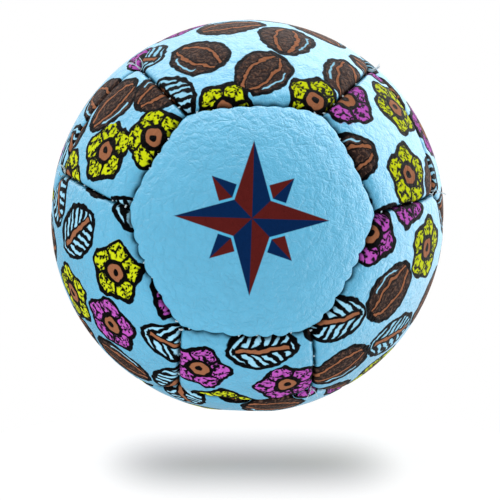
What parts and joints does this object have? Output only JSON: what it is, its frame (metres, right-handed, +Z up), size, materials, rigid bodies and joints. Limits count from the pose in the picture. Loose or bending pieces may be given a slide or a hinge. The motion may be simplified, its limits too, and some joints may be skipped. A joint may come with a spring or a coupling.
{
  "type": "lacrosse ball",
  "caption": "Soft sewn lacrosse practice ball: hexagonal and square leather panels, turned in and stitched at the seams, round a bag of granules. Rests on a small pressed flat.",
  "frame": {"origin": "middle of the small flat that the ball rests on", "axes": "+Z up out of the flat through the ball's centre, -Y out through the front hexagonal panel, +X to the right seen from the front"},
  "size_m": [0.064, 0.064, 0.0635],
  "materials": {
    "plain_leather": "sky blue synthetic leather, fine pebbled grain, satin",
    "printed_leather": "sky blue synthetic leather with a printed pattern, satin",
    "sewing_thread": "pale twisted polyester thread",
    "bag_cloth": "thin closely woven cloth",
    "tie_cord": "waxed cord",
    "granules": "packed granules"
  },
  "bodies": {
    "root": {"front_hexagon_panel": "plain_leather", "top_hexagon_panel": "printed_leather", "left_hexagon_panel": "printed_leather", "right_hexagon_panel": "printed_leather", "rear_left_hexagon_panel": "printed_leather", "rear_right_hexagon_panel": "printed_leather", "back_hexagon_panel": "printed_leather", "bottom_hexagon_panel": "printed_leather", "front_right_square_panel": "printed_leather", "front_left_square_panel": "printed_leather", "front_lower_square_panel": "printed_leather", "rear_left_square_panel": "printed_leather", "rear_right_square_panel": "printed_leather", "rear_upper_square_panel": "printed_leather", "front_right_square_thread": "sewing_thread", "front_left_square_thread": "sewing_thread", "front_lower_square_thread": "sewing_thread", "rear_left_square_thread": "sewing_thread", "rear_right_square_thread": "sewing_thread", "rear_upper_square_thread": "sewing_thread", "front_to_top_thread": "sewing_thread", "front_to_left_thread": "sewing_thread", "front_to_right_thread": "sewing_thread", "top_to_rear_left_thread": "sewing_thread", "top_to_rear_right_thread": "sewing_thread", "left_to_rear_left_thread": "sewing_thread", "right_to_rear_right_thread": "sewing_thread", "left_to_bottom_thread": "sewing_thread", "right_to_bottom_thread": "sewing_thread", "back_to_rear_left_thread": "sewing_thread", "back_to_rear_right_thread": "sewing_thread", "back_to_bottom_thread": "sewing_thread", "inner_bag": "bag_cloth", "bag_tie": "tie_cord", "granule_filling": "granules"}
  },
  "joints": []
}
